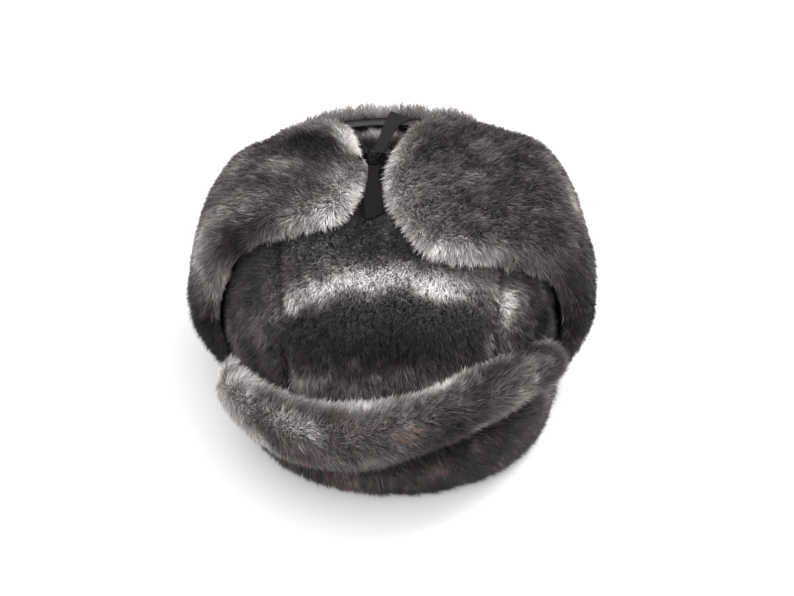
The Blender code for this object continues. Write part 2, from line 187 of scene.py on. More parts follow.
# How the strands lean, in degrees from the pelt's normal, and how they are combed. The crown's run forwards
# and down, the ear flaps' outwards, forwards and down, and the neck flap's up.
LOW_LEAN = 0.55
HIGH_LEAN = 1.25
LEAN_IN_PATCHES = 22
LEAN_SPREAD = 7
LEAN_LOSS_AT_EDGE = 6
LEAST_LEAN = 8
MOST_LEAN = 72
CLUMP_SWIRL = 50
STRAND_SWIRL = 16
COMB_LOSS_AT_EDGE = 0.6
EDGE_SPLAY = 0.7
FORWARDS = (0.0, -0.8, -0.45)
OUTWARDS = {LEFT: (0.55, -0.62, -0.55), RIGHT: (-0.55, -0.62, -0.55)}
UP = (0.0, 0.0, 1.0)
VISOR_COMB_ALONG = 0.75
VISOR_COMB_RISE = 0.65
VISOR_COMB_LEVEL = 0.055
VISOR_COMB_FADE = 0.025

# A strand is a quad and a triangle on five corners, and an underfur tip is a triangle
STRAND_CORNERS = 5
STRAND_LOOPS = (0, 1, 3, 2, 2, 3, 4)
STRAND_STARTS = (0, 4)
STRAND_MAP = ((-1, 0.0), (1, 0.0), (1, 0.5), (-1, 0.5), (-1, 0.5), (1, 0.5), (0, 1.0))
TIP_MAP = ((-1, 0.0), (1, 0.0), (0, 1.0))
MAP_HALF_WIDTH = 0.003

# Looks of the pile: lean in degrees, twist in radians and the rest as shares
PLAIN_LOOK = {
    "lean": 42,
    "splay": 1.0,
    "tone": 0.30,
    # Painted sheen: the edge tone lightens the pile along its rounded edges, as light catches the strands'
    # sides.
    "edge_sheen": 0.13,
    "edge_cut": 0.15,
    "seam_shade": 0.0,
    "long": 1.0,
    "ragged": 0.12,
    "twist": 0.75,
    "on_crown": False,
}
CROWN_LOOK = {
    **PLAIN_LOOK,
    "splay": 0.0,
    "edge_sheen": 0.0,
    "edge_cut": 0.62,
    # Painted shade: the seam tone darkens the pile in the grooves of the crown's seams.
    "seam_shade": -0.70,
    "twist": 0.35,
    "on_crown": True,
}
NECK_LOOK = {**PLAIN_LOOK, "lean": 50, "long": 1.10, "ragged": 0.25}
VISOR_LOOK = {**PLAIN_LOOK, "tone": 0.32}

# Frayed threads round the knot: sizes in metres and spreads of direction
FRAY_COUNT = 120
FRAY_SEED = 9
FRAY_LINE = 0.0085
FRAY_BAND = 0.0020
FRAY_DEPTH = 0.0025
FRAY_DROOP = 0.0015
FRAY_LENGTHS = (0.003, 0.0065)
FRAY_HALF_WIDTH = 0.00018
FRAY_OUTWARD = 0.5
FRAY_FORWARD = -0.25
FRAY_SPREAD = 0.35
FRAY_CURL = 0.4
FRAY_SAG = -0.2
FRAY_TONE = 0.2

# The studio and the camera. The scale holds at the point that the camera aims at.
FLOOR_HALF_SIZE = 4
SURROUND_STRENGTH = 1.3
LAMP_AIM = (0.0, 0.0, 0.07)
LAMPS = (("key", (0.55, 0.35, 1.2), 0.7, 16.0), ("front", (-0.3, -1.2, 0.9), 0.9, 6.0))
CAMERA_ELEVATION = 38
CAMERA_AWAY = 0.95
CAMERA_AIM = (0.003, 0.0, 0.057)
SENSOR_WIDTH = 36.0
PHOTO_PIXELS_WIDE = 794
PIXELS_PER_METRE = 1570

NEAR_ZERO = 1e-9
FLAT_GUARD = 1e-6

EDGE_COLUMNS = ("share", "front", "back")
EAR_EDGES = {
    LEFT: ((0, -0.24, 0.6), (0.35, -0.24, 0.62), (0.54, -0.31, 0.66), (0.74, -0.46, 0.69), (1, -0.56, 0.72)),
    RIGHT: ((0, -0.22, 0.6), (0.35, -0.21, 0.62), (0.6, -0.23, 0.66), (0.8, -0.28, 0.69), (1, -0.32, 0.72)),
}
REACH_COLUMNS = ("share", "reach")
EAR_REACH = {
    LEFT: (
        (0, 0.82),
        (0.07, 0.91),
        (0.19, 0.968),
        (0.34, 1.012),
        (0.52, 1.025),
        (0.66, 1),
        (0.84, 0.951),
        (0.95, 0.9),
        (1, 0.82),
    ),
    RIGHT: (
        (0, 0.76),
        (0.09, 0.87),
        (0.27, 0.915),
        (0.46, 0.94),
        (0.6, 0.92),
        (0.76, 0.9),
        (0.92, 0.86),
        (1, 0.78),
    ),
}
PAD_COLUMNS = ("share", "stand_off", "thickness", "corner")
EAR_BODY = (
    (0, 0, 0.5, 0),
    (0.1, 0.2, 0.68, 0),
    (0.19, 0.6, 0.94, 0),
    (0.3, 0.9, 0.98, 0.1),
    (0.42, 0.7, 1, 0.9),
    (0.56, 0.5, 1.02, 0.8),
    (0.75, 0.3, 0.82, 0),
    (1, 0.3, 0.8, 0),
)
NECK_TOP = ((0, 0.84), (0.12, 0.92), (0.3, 0.98), (0.5, 1), (0.7, 0.98), (0.88, 0.92), (1, 0.84))
VISOR_COLUMNS = ("share", "top", "crease", "body")
VISOR_EDGES = (
    (0, 0.64, 0.2, 0.72),
    (0.12, 0.74, 0.26, 0.9),
    (0.28, 0.82, 0.27, 1),
    (0.45, 0.93, 0.38, 1),
    (0.6, 1.02, 0.58, 1),
    (0.75, 1.1, 0.68, 0.98),
    (0.88, 1.02, 0.66, 0.9),
    (1, 0.78, 0.56, 0.74),
)
# Dents: the middle as shares of the crown's half sizes, the radius of its half width, the depth of its wall
CROWN_DENTS = (
    (0.05, -0.36, 0.98, 0.29, 0.36),
    (-0.3, -0.66, 0.8, 0.19, 0.14),
    (0.34, -0.62, 0.8, 0.17, 0.16),
    (-0.1, -0.92, 0.62, 0.32, 0.21),
    (0.5, -0.88, 0.6, 0.19, 0.13),
    (-0.72, -0.62, 0.62, 0.19, 0.16),
)

HALF_WIDTH = HEAD_WIDTH / 2 / (1 - RIM_TUCK) + CROWN_WALL
HALF_LENGTH = HEAD_LENGTH / 2 / (1 - RIM_TUCK) + CROWN_WALL
HALF_SIZES = np.array([HALF_WIDTH, HALF_LENGTH, CROWN_HEIGHT])
CROWN_X = LEAN - (EAR_FLAP_THICKNESS[LEFT] - EAR_FLAP_THICKNESS[RIGHT]) / 2
CROWN_Y = (VISOR_THICKNESS - NECK_FLAP_THICKNESS) / 2

# Lighter and darker places of the pile: the middle and the half lengths as shares of a piece's
# two ways, and how much lighter. An ear flap's ways run from the rim to its end and from front to back, the
# middle panel's from front to back and right to left, a side panel's from front to back and up, the visor's
# from the wearer's right and up, the neck flap's from the left and up. Noise moves and tufts the patches.
PATCH_WANDER = 0.0045
WANDER_SIZES = (0.016, 0.019)
PATCH_TUFTS = 0.25
PATCH_TUFT_SIZE = 0.006
PATCH_SEED = 41
# Painted light: lighter patches are painted sheen on the nap, darker ones painted shade under edges and in
# hollows.
PAINTED_SHEEN_AND_SHADE = {
    "ear_flap_right": (
        (0.88, 0.6, 0.07, 0.16, -0.6),
        (0.78, 0.43, 0.06, 0.09, 0.28),
        (0.88, 0.97, 0.12, 0.07, 0.14),
        (1, 0.7, 0.055, 0.25, 0.82),
        (1, 0.2, 0.07, 0.22, 0.46),
        (0.2, 0.45, 0.1, 0.25, -0.08),
        (0.93, 0.04, 0.07, 0.05, 0.1),
        (0.62, 0.18, 0.07, 0.16, 0.2),
        (0.72, 0.02, 0.08, 0.08, -0.2),
        (0.57, 0.65, 0.05, 0.12, 0.22),
        (0.5, 0.15, 0.06, 0.16, 0.38),
        (0.42, 0.4, 0.06, 0.3, 0.16),
        (0.32, 0.75, 0.09, 0.18, 0.16),
        (0.28, 0, 0.15, 0.06, -0.28),
        (0.15, 0.1, 0.15, 0.15, -0.2),
    ),
    "ear_flap_left": (
        (0.9, 0.6, 0.07, 0.1, -0.12),
        (0.75, 0.55, 0.1, 0.12, -0.06),
        (0.65, 0.32, 0.09, 0.18, -0.14),
        (1, 0.45, 0.05, 0.45, 0.42),
        (0.92, 0.32, 0.05, 0.07, 0.18),
        (0.8, 0.38, 0.04, 0.05, 0.16),
        (0.81, 0.14, 0.06, 0.07, 0.2),
        (0.3, 0, 0.15, 0.06, -0.28),
        (0.92, 0.02, 0.12, 0.05, 0.36),
        (0.5, 0.4, 0.05, 0.1, 0.24),
        (0.55, 0.7, 0.05, 0.08, 0.14),
        (0.48, 0.1, 0.14, 0.18, -0.2),
        (0.15, 0.1, 0.15, 0.15, -0.2),
    ),
    "crown_center": (
        (0.343, 0.67, 0.032, 0.16, 0.8),
        (0.34, 0.45, 0.02, 0.13, 0.32),
        (0.335, 0.26, 0.023, 0.14, 0.52),
        (0.315, 0.08, 0.02, 0.09, 0.44),
        (0.33, 0.98, 0.025, 0.06, 0.4),
        (0.39, 0.4, 0.02, 0.18, -0.16),
        (0.26, 0.5, 0.044, 0.26, -0.6),
        (0.26, 0.15, 0.035, 0.15, -0.3),
        (0.26, 0.85, 0.035, 0.12, -0.26),
        (0.2, 0.15, 0.015, 0.12, 0.18),
        (0.2, 0.75, 0.015, 0.1, 0.36),
        (0.6, 0.42, 0.04, 0.12, 0.16),
        (0.68, 0.41, 0.03, 0.18, 0.56),
    ),
    "crown_side_left": (
        (0.14, 0.96, 0.07, 0.12, 0.58),
        (0.25, 0.6, 0.08, 0.1, -0.24),
        (0.17, 0.72, 0.05, 0.08, -0.18),
    ),
    "crown_side_right": (
        (0.19, 0.74, 0.05, 0.08, 0.22),
        (0.11, 0.96, 0.05, 0.08, 0.24),
        (0.31, 0.8, 0.08, 0.12, -0.28),
        (0.3, 0.52, 0.06, 0.08, -0.16),
        (0.05, 0.8, 0.09, 0.1, -0.28),
        (0.17, 0.62, 0.07, 0.1, -0.32),
    ),
    "neck_flap": ((0.50, 0.93, 0.50, 0.08, 0.50),),
    "front_visor": (
        (0.08, 0.98, 0.1, 0.2, 0.5),
        (0.05, 0.62, 0.08, 0.2, 0.34),
        (0.19, 0.66, 0.06, 0.12, 0.34),
        (0.27, 0.86, 0.08, 0.07, 0.42),
        (0.3, 1.02, 0.14, 0.05, 0.44),
        (0.44, 0.99, 0.05, 0.05, 0.3),
        (0.62, 1.01, 0.08, 0.05, 0.46),
        (0.53, 0.78, 0.03, 0.06, 0.22),
        (0.79, 0.54, 0.05, 0.11, 0.18),
        (1, 0.5, 0.03, 0.12, 0.5),
        (0.95, 0.42, 0.04, 0.12, 0.36),
        (0.37, 0.32, 0.05, 0.09, 0.18),
        (0.6, 0.24, 0.03, 0.05, 0.18),
        (0.32, 0.93, 0.09, 0.025, -0.2),
        (0.32, 0.55, 0.07, 0.09, -0.1),
        (0.9, 1, 0.05, 0.05, -0.36),
        (0.76, 0.92, 0.05, 0.07, -0.28),
        (0.6, 0.6, 0.06, 0.16, -0.26),
        (0.7, 0.7, 0.05, 0.14, -0.1),
        (0.65, 0.25, 0.14, 0.15, -0.2),
        (0.52, 0.5, 0.07, 0.08, -0.14),
    ),
}

# Places where the pile stands longer, in the same way, and how much longer
LONG_PLACES = {
    "crown_center": ((0.68, 0.41, 0.05, 0.25, 0.60),),
    "neck_flap": ((0.50, 0.95, 0.60, 0.10, 1.00),),
}

# Brownish places on the visor, in the same way, and how many of the strands there are brown
BROWN_PATCHES = (
    (0.42, 0.82, 0.07, 0.1, 0.6),
    (0.53, 0.78, 0.04, 0.07, 0.75),
    (0.32, 0.66, 0.05, 0.1, 0.5),
    (0.37, 0.32, 0.06, 0.12, 0.65),
    (0.6, 0.24, 0.04, 0.07, 0.65),
)


def column(rows, columns, name, at):
    """A smooth curve through one column of a table, read at shares of its first column."""
    table = np.array(rows)
    x, y = table[:, 0], table[:, columns.index(name)]
    slope = np.gradient(y, x)
    low = np.clip(np.searchsorted(x, at, side="right") - 1, 0, len(x) - 2)
    step = x[low + 1] - x[low]
    t = (at - x[low]) / step
    rise = y[low + 1] - y[low]
    bend = slope[low] * step * t * (1 - t) ** 2 - slope[low + 1] * step * t**2 * (1 - t)
    return y[low] + rise * t * t * (3 - 2 * t) + bend


def shell_point(aim, grow):
    """Where the ray along aim meets the shell ((x/a)^q + (y/b)^q)^(p/q) + (z/c)^p = 1 grown by grow."""
    grow = np.broadcast_to(grow, aim.shape[:-1])[..., None]
    x, y, z = np.moveaxis(np.abs(aim) / (HALF_SIZES + grow), -1, 0)
    plan = (x**PLAN_POWER + y**PLAN_POWER) ** (PROFILE_POWER / PLAN_POWER)
    level = (plan + z**PROFILE_POWER) ** (1 / PROFILE_POWER)
    return aim / level[..., None]


def arch(half, share):
    """Points of a profile arch at even ways along it: 0 at the rim, 1 at the top and 2 at the rim beyond."""
    turn = np.linspace(0, math.pi, ARCH_SAMPLES)
    across = half * np.sign(np.cos(turn)) * np.abs(np.cos(turn)) ** (2 / PROFILE_POWER)
    up = CROWN_HEIGHT * np.abs(np.sin(turn)) ** (2 / PROFILE_POWER)
    way = np.append(0, np.cumsum(np.hypot(np.diff(across), np.diff(up))))
    at = np.asarray(share) * way[-1] / 2
    return np.interp(at, way, across), np.interp(at, way, up)


def rounded(distance, radius):
    """0 on an edge, rising as a quarter circle to 1 at radius from it."""
    near = np.clip(1 - distance / radius, 0, 1)
    return np.sqrt(1 - near * near)


def way_along(points, axis):
    """Distance from the first point, along one axis of a grid of points."""
    step = np.linalg.norm(np.diff(points, axis=axis), axis=-1)
    start = np.zeros_like(np.take(step, [0], axis=axis))
    return np.concatenate([start, np.cumsum(step, axis=axis)], axis=axis)


def edge_ways(points):
    """Distances over a grid from its four borders: first and last of each axis."""
    ways = []
    for axis in (0, 1):
        way = way_along(points, axis)
        ways += [way, np.take(way, [-1], axis=axis) - way]
    return ways


def edge_rounding(points, radii):
    """Share of the full thickness over a grid: 0 on its rounded edges, 1 inside. Radius 0 leaves an edge."""
    share = np.ones(points.shape[:2])
    for way, radius in zip(edge_ways(points), radii):
        if radius:
            share = share * rounded(way, radius)
    return share


def settled(points):
    """The points as the hat lies: its rim drawn in by the tuck, its crown leaning to the wearer's right."""
    x, y, z = np.moveaxis(points, -1, 0)
    low = np.clip(1 - z / RIM_TUCK_HEIGHT, 0, 1) ** 2
    drawn = 1 - RIM_TUCK * low
    return np.stack([x * drawn + CROWN_X - LEAN * (1 - low), y * drawn + CROWN_Y, z], -1)


def crown_dents(points):
    """How deep the crown's soft dents are at each point: a sum of bells from the table."""
    depth = np.zeros(points.shape[:2])
    for x, y, z, radius, deep in CROWN_DENTS:
        away = np.linalg.norm(points - np.array([x, y, z]) * HALF_SIZES, axis=-1) / (radius * HALF_WIDTH)
        depth = depth + deep * CROWN_WALL * np.exp(-(away**2))
    return depth


def shares(rows, columns, first=(0.0, 0.0), last=(1.0, 1.0)):
    """A grid of shares along two axes, between the insets first and last."""
    u = np.linspace(first[0], last[0], rows)[:, None]
    v = np.linspace(first[1], last[1], columns)[None, :]
    return u, v


def pelt_of(aim, inner, full, radii):
    """The two faces of a pelt: the inner one, and the outer one under the pile, rounded at its open edges."""
    surface = shell_point(aim, inner + full)
    rounding = edge_rounding(surface, radii)
    outer = inner + PELT_EDGE + np.maximum(full - PILE_DEPTH - PELT_EDGE, 0) * rounding
    return {
        "aim": aim,
        "outer": settled(shell_point(aim, outer)),
        "inner": settled(shell_point(aim, inner + 0 * rounding)),
        "radii": radii,
    }


def crown_panel(aim, radii):
    """A crown panel's pelt: its seams sink, and its soft dents with them."""
    surface = shell_point(aim, 0.0)
    rounding = edge_rounding(surface, radii)
    sunk = SEAM_DEPTH * (1 - rounding) + crown_dents(surface) * rounding
    return {
        "aim": aim,
        "outer": settled(shell_point(aim, -PILE_DEPTH + CROWN_PELT_RISE - CROWN_PELT_SUNK * sunk)),
        "inner": settled(shell_point(aim, -CROWN_WALL + 0 * rounding)),
        "radii": radii,
        # Painted shade along the edges of the flaps and the visor, where their shade falls on the crown.
        "shade": PAINTED_CREASE_SHADE * crease_shade(aim),
    }


def seam_aim(share, side, inset):
    """Rays along a crown seam: 0 at the front rim, 1 at the back rim."""
    along, up = arch(HALF_LENGTH, 2 * np.asarray(share))
    across = np.full_like(along, side * (CENTER_PANEL_WIDTH / 2 + inset))
    return np.stack([across, -along, up], -1)


def crown_center():
    """The panel from the front rim over the top to the back rim."""
    u, v = shares(*PELT_GRIDS["crown_center"])
    left = seam_aim(u[:, 0], LEFT, -SEAM_GAP / 2)
    aim = left[:, None, :] * np.ones((1, v.shape[1], 1))
    aim[..., 0] *= 2 * v - 1
    return crown_panel(aim, (0, 0, SEAM_ROUNDING, SEAM_ROUNDING))


def crown_side(side):
    """A side panel: a patch blended between the seam's three stretches and the rim."""
    u, v = shares(*PELT_GRIDS["crown_side"])
    front = seam_aim(SHOULDER * v, side, SEAM_GAP / 2)
    back = seam_aim(1 - SHOULDER * v, side, SEAM_GAP / 2)
    top = seam_aim(SHOULDER + (1 - 2 * SHOULDER) * u, side, SEAM_GAP / 2)
    start = math.atan2(front[0, 0, 1] / HALF_LENGTH, side * front[0, 0, 0] / HALF_WIDTH)
    turn = start * (1 - 2 * u)
    rim = np.stack([side * HALF_WIDTH * np.cos(turn), HALF_LENGTH * np.sin(turn), 0 * turn], -1)
    rim = rim * np.hypot(front[0, 0, 0] / HALF_WIDTH, front[0, 0, 1] / HALF_LENGTH)
    u, v = u[..., None], v[..., None]
    low = (1 - u) * front[:, :1] + u * back[:, :1]
    high = (1 - u) * front[:, -1:] + u * back[:, -1:]
    aim = (1 - u) * front + u * back + (1 - v) * rim + v * top - (1 - v) * low - v * high
    return crown_panel(aim, (SEAM_ROUNDING, SEAM_ROUNDING, 0, SEAM_ROUNDING))


def ear_aim(side, along, across):
    """Rays of an ear flap: along it from the rim over the shoulder, and across it from front to back."""
    reach = column(EAR_REACH[side], REACH_COLUMNS, "reach", across)
    x, z = arch(HALF_WIDTH, along * reach)
    front = column(EAR_EDGES[side], EDGE_COLUMNS, "front", along)
    back = column(EAR_EDGES[side], EDGE_COLUMNS, "back", along)
    y = HALF_LENGTH * (front + (back - front) * across)
    return np.stack(np.broadcast_arrays(side * x, y, z), -1)


def ear_flap(side):
    """An ear flap from the rim over the shoulder towards the middle of the crown's top."""
    along, across = shares(*PELT_GRIDS["ear_flap"])
    stand_off, thickness, corner = (column(EAR_BODY, PAD_COLUMNS, name, along) for name in PAD_COLUMNS[1:])
    full = EAR_FLAP_THICKNESS[side] * thickness + CORNER_FULLNESS[side] * corner * across**2
    inner = PAD_GAP + EAR_FLAP_STAND_OFF * stand_off + 0 * across
    radii = (PAD_ROUNDING, PAD_ROUNDING, PAD_ROUNDING, JOIN_ROUNDING)
    return pelt_of(ear_aim(side, along, across), inner, full, radii)


def bearing(aim):
    """The turn of rays round the hat from its side and their rise over the rim, by the half sizes."""
    x, y, z = np.moveaxis(aim / HALF_SIZES, -1, 0)
    return np.arctan2(y, np.abs(x)), z / np.hypot(x, y)


def beside_ear(side, across, height):
    """The bearing of an ear flap's front edge, 0, or back edge, 1, at heights up the wall."""
    along = np.linspace(0, EAR_WALL_END, EDGE_SAMPLES)
    turn, rise = bearing(ear_aim(side, along, np.full(EDGE_SAMPLES, float(across))))
    return np.interp(height / CROWN_HEIGHT, rise, turn)


def wall_aim(turn, height):
    """Rays to the wall at a bearing and a height."""
    x, y, z = np.broadcast_arrays(HALF_WIDTH * np.cos(turn), HALF_LENGTH * np.sin(turn), height)
    return np.stack([x, y, z], -1)


def neck_flap():
    """The flap that stands up round the back between the ear flaps."""
    across, up = shares(*PELT_GRIDS["neck_flap"])
    height = NECK_FLAP_HEIGHT * column(NECK_TOP, REACH_COLUMNS, "reach", across) * up
    gap = FLAP_JOIN_GAP / HALF_LENGTH
    left = beside_ear(LEFT, 1, height) + gap
    right = math.pi - beside_ear(RIGHT, 1, height) - gap
    aim = wall_aim(left + (right - left) * across, height)
    inner = PAD_GAP + NECK_FLAP_STAND_OFF * up**2 + 0 * across
    full = NECK_FLAP_THICKNESS - PAD_GAP - NECK_FLAP_STAND_OFF * up**2 + 0 * across
    pelt = pelt_of(aim, inner, full, (JOIN_ROUNDING, JOIN_ROUNDING, PAD_ROUNDING, PAD_ROUNDING))
    pelt["fur_end"] = NECK_FUR_END
    return pelt


def front_visor():
    """The turned-up visor: a low base, a thick roll, and a crease between them that climbs to the left."""
    fold = VISOR_CREASE_SHARE
    across, up = shares(*PELT_GRIDS["front_visor"])
    top, crease, share = (column(VISOR_EDGES, VISOR_COLUMNS, name, across) for name in VISOR_COLUMNS[1:])
    top, crease = VISOR_HEIGHT * top, VISOR_HEIGHT * crease
    roll = crease + (top - crease) * (up - fold) / (1 - fold)
    height = np.where(up < fold, crease * up / fold, roll)
    gap = VISOR_END_GAP / HALF_LENGTH
    right = math.pi - beside_ear(RIGHT, 0, height) + gap
    left = 2 * math.pi + beside_ear(LEFT, 0, height) - gap
    aim = wall_aim(right + (left - right) * across, height)
    step = np.clip((up - fold) * VISOR_HEIGHT / PAD_ROUNDING, 0, 1)
    body = VISOR_BASE_THICKNESS + (VISOR_THICKNESS - VISOR_BASE_THICKNESS) * step
    groove = VISOR_CREASE_DEPTH * (1 - rounded(np.abs(height - crease), PAD_ROUNDING))
    full = (body - groove - PAD_GAP) * share
    pelt = pelt_of(aim, PAD_GAP + 0 * full, full, (PAD_ROUNDING, PAD_ROUNDING, PAD_ROUNDING, PAD_ROUNDING))
    # The base under the roll is painted darker, as shade.
    base = np.clip((fold + VISOR_BASE_FADE / 2 - up) / VISOR_BASE_FADE, 0, 1)
    pelt["shade"] = VISOR_BASE_SHADE * base + 0 * across
    return pelt


def ear_place(side, aim):
    """The shares along and across an ear flap at which rays lie, by rounds, and whether on its side."""
    rounds = 4
    x, y, z = np.moveaxis(aim / HALF_SIZES, -1, 0)
    level = (np.abs(x) ** PROFILE_POWER + np.abs(z) ** PROFILE_POWER) ** (1 / PROFILE_POWER)
    shares_up = np.linspace(0, 1, EAR_SAMPLES)
    across_arch, up_arch = arch(1.0, shares_up)
    up = np.interp(np.arctan2(z, np.abs(x)), np.arctan2(up_arch / CROWN_HEIGHT, across_arch), shares_up)
    across = np.full_like(up, 0.5)
    for _ in range(rounds):
        along = up / column(EAR_REACH[side], REACH_COLUMNS, "reach", np.clip(across, 0, 1))
        front = column(EAR_EDGES[side], EDGE_COLUMNS, "front", np.clip(along, 0, 1))
        back = column(EAR_EDGES[side], EDGE_COLUMNS, "back", np.clip(along, 0, 1))
        across = (y / level - front) / (back - front)
    return along, across, side * x > 0


def under_ear(side, aim):
    """True where a ray of the crown runs under an ear flap, short of its edges by a margin."""
    along, across, beside = ear_place(side, aim)
    return beside & (along < EAR_COVER_END) & (across > EAR_COVER_FRONT) & (across < EAR_COVER_BACK)


def visor_top(aim):
    """The height of the visor's upper edge in front of the crown's rays."""
    return VISOR_HEIGHT * column(VISOR_EDGES, VISOR_COLUMNS, "top", (aim[..., 0] / HALF_WIDTH + 1) / 2)


def crease_shade(aim):
    """How near the crown's rays lie to the flaps' front edges and tips and the visor's top, from 0 to 1."""
    _, rise = bearing(aim)
    over = np.maximum(rise * CROWN_HEIGHT - visor_top(aim), 0) / CREASE_REACH
    shade = np.exp(-(over**2)) * (aim[..., 1] < 0)
    for side in (LEFT, RIGHT):
        along, across, beside = ear_place(side, aim)
        away = np.hypot(np.maximum(-across, 0) / CREASE_SHARE, np.maximum(along - 1, 0) / CREASE_SHARE)
        shade = np.maximum(shade, np.exp(-(away**2)) * beside)
    return shade


def under_wall_flap(aim):
    """True where a ray of the crown runs behind the visor or the neck flap, a margin below its upper edge."""
    turn, rise = bearing(aim)
    height = np.clip(rise * CROWN_HEIGHT, 0, VISOR_HEIGHT)
    front = aim[..., 1] < 0
    low = np.where(front, visor_top(aim) - VISOR_COVER_MARGIN, NECK_FLAP_HEIGHT - NECK_COVER_MARGIN)
    open_front = front & (turn > beside_ear(LEFT, 0, height) - VISOR_END_GAP / HALF_LENGTH)
    return (rise * CROWN_HEIGHT < low) & ~open_front


def mixed_cells(cells):
    """One whole number for each lattice cell, mixed from its three coordinates."""
    x, y, z = np.moveaxis(cells, -1, 0)
    return x * CELL_MIX_X ^ y * CELL_MIX_Y ^ z * CELL_MIX_Z


def scrambled(mixed):
    """Whole numbers scrambled to even odds from 0 to 65535."""
    mixed = (mixed ^ (mixed >> 13)) * LAST_MIX & 0xFFFFFFFF
    return (mixed ^ (mixed >> 16)) & 0xFFFF


def lattice_noise(points, size, seed):
    """Smooth noise from -1 to 1: random values on a lattice of a given size, blended between its corners."""
    at = points / size + SEED_SHIFT * (seed + 1)
    cell = np.floor(at).astype(np.int64)
    t = at - cell
    t = t * t * (3 - 2 * t)
    total = 0.0
    for corner in np.ndindex(2, 2, 2):
        value = scrambled(mixed_cells(cell + np.array(corner)) ^ seed * SEED_MIX) / 32767.5 - 1
        weight = np.prod(np.where(np.array(corner) == 1, t, 1 - t), axis=-1)
        total = total + value * weight
    return total


def with_noise(total, points, rows, seed):
    """The total plus a table's noises: strength, size of the lattice and step from the seed."""
    for strength, size, step in rows:
        total = total + strength * lattice_noise(points, size, seed + step)
    return total


def unit(vectors):
    """The vectors at length one."""
    return vectors / np.maximum(np.linalg.norm(vectors, axis=-1, keepdims=True), NEAR_ZERO)


def hex_colour(text):
    """An sRGB hex colour as linear red, green, blue and alpha."""
    value = np.array([int(text[i : i + 2], 16) for i in (1, 3, 5)]) / 255
    linear = np.where(value <= 0.04045, value / 12.92, ((value + 0.055) / 1.055) ** 2.4)
    return (*linear.tolist(), 1.0)


def node(tree, kind, settings=None, **links):
    """Adds a node with its settings and links. A key such as in0 names an input by place, others by name."""
    made = tree.nodes.new(kind)
    for key, value in (settings or {}).items():
        if hasattr(made, key):
            setattr(made, key, value)
        else:
            made.inputs[key].default_value = value
    for key, source in links.items():
        place = int(key[2:]) if key[:2] == "in" and key[2:].isdigit() else key.replace("_", " ")
        tree.links.new(source, made.inputs[place])
    return made


def ramp(tree, fac, stops):
    """A colour ramp with stops of place and hex colour."""
    made = node(tree, "ShaderNodeValToRGB", None, Fac=fac)
    elements = made.color_ramp.elements
    while len(elements) < len(stops):
        elements.new(0.5)
    for element, (place, colour) in zip(elements, stops):
        element.position = place
        element.color = hex_colour(colour)
    return made


def new_material(name):
    """An empty principled material: its tree and its surface node."""
    made = bpy.data.materials.new(name)
    made.use_nodes = True
    return made, made.node_tree, made.node_tree.nodes["Principled BSDF"]


def tones_on(tree):
    """The pile's tones, read across the piece's own map, and the map's two ways apart."""
    place = node(tree, "ShaderNodeUVMap", {"uv_map": "OFBake"})
    ways = node(tree, "ShaderNodeSeparateXYZ", None, Vector=place.outputs["UV"])
    return ramp(tree, ways.outputs["X"], PILE_TONES), ways


def finished(tree, surface, colour, height, strength, depth, roughness):
    """Gives a surface its colour, a bump of a strength and a depth in metres, and its roughness."""
    bump = node(tree, "ShaderNodeBump", {"Strength": strength, "Distance": depth}, Height=height)
    tree.links.new(colour, surface.inputs["Base Color"])
    tree.links.new(bump.outputs["Normal"], surface.inputs["Normal"])
    surface.inputs["Roughness"].default_value = roughness


def shorn_pile():
    """Dyed and sheared plush pile: dark at the roots, greyer to the tips, which are dull with a soft sheen.

    The strand's tone runs across the map and its length up it, and past GREY_END the tones are brown.
    """
    made, tree, surface = new_material("shorn_plush_pile")
    tips, ways = tones_on(tree)
    depth = node(tree, "ShaderNodeMapRange", {"From Min": -0.25, "From Max": 0.5}, Value=ways.outputs["Y"])
    mixed = node(tree, "ShaderNodeMix", {"data_type": "RGBA"}, in0=depth.outputs["Result"])
    mixed.inputs[6].default_value = hex_colour(ROOT_COLOUR)
    tree.links.new(tips.outputs["Color"], mixed.inputs[7])
    tree.links.new(mixed.outputs[2], surface.inputs["Base Color"])
    gloss = {"Roughness": 0.55, "Specular IOR Level": 0.35, "Sheen Weight": 0.25, "Sheen Roughness": 0.4}
    for name, value in gloss.items():
        surface.inputs[name].default_value = value
    return made


def pelt_ground():
    """The knitted ground and underwool of plush, in the pile's own tones, dull, its nap about 1 mm fine."""
    made, tree, surface = new_material("plush_ground")
    tones, _ = tones_on(tree)
    solid = node(tree, "ShaderNodeTexCoord")
    nap = node(tree, "ShaderNodeTexNoise", {"Scale": 900.0, "Detail": 3.0}, Vector=solid.outputs["Object"])
    finished(tree, surface, tones.outputs["Color"], nap.outputs["Fac"], 0.6, 0.001, 0.95)
    return made


def twill_backing():
    """Near-black dull polyester twill on the pelts' backs, its lighter diagonal lines about 1.5 mm apart."""
    made, tree, surface = new_material("polyester_twill_backing")
    place = node(tree, "ShaderNodeTexCoord")
    weave = {"bands_direction": "DIAGONAL", "Scale": 260.0, "Distortion": 1.5, "Detail": 2.0}
    lines = node(tree, "ShaderNodeTexWave", weave, Vector=place.outputs["Object"])
    shade = ramp(tree, lines.outputs["Fac"], ((0.2, "#131011"), (0.8, "#1e1b1c")))
    finished(tree, surface, shade.outputs["Color"], lines.outputs["Fac"], 0.25, 0.0003, 0.6)
    return made


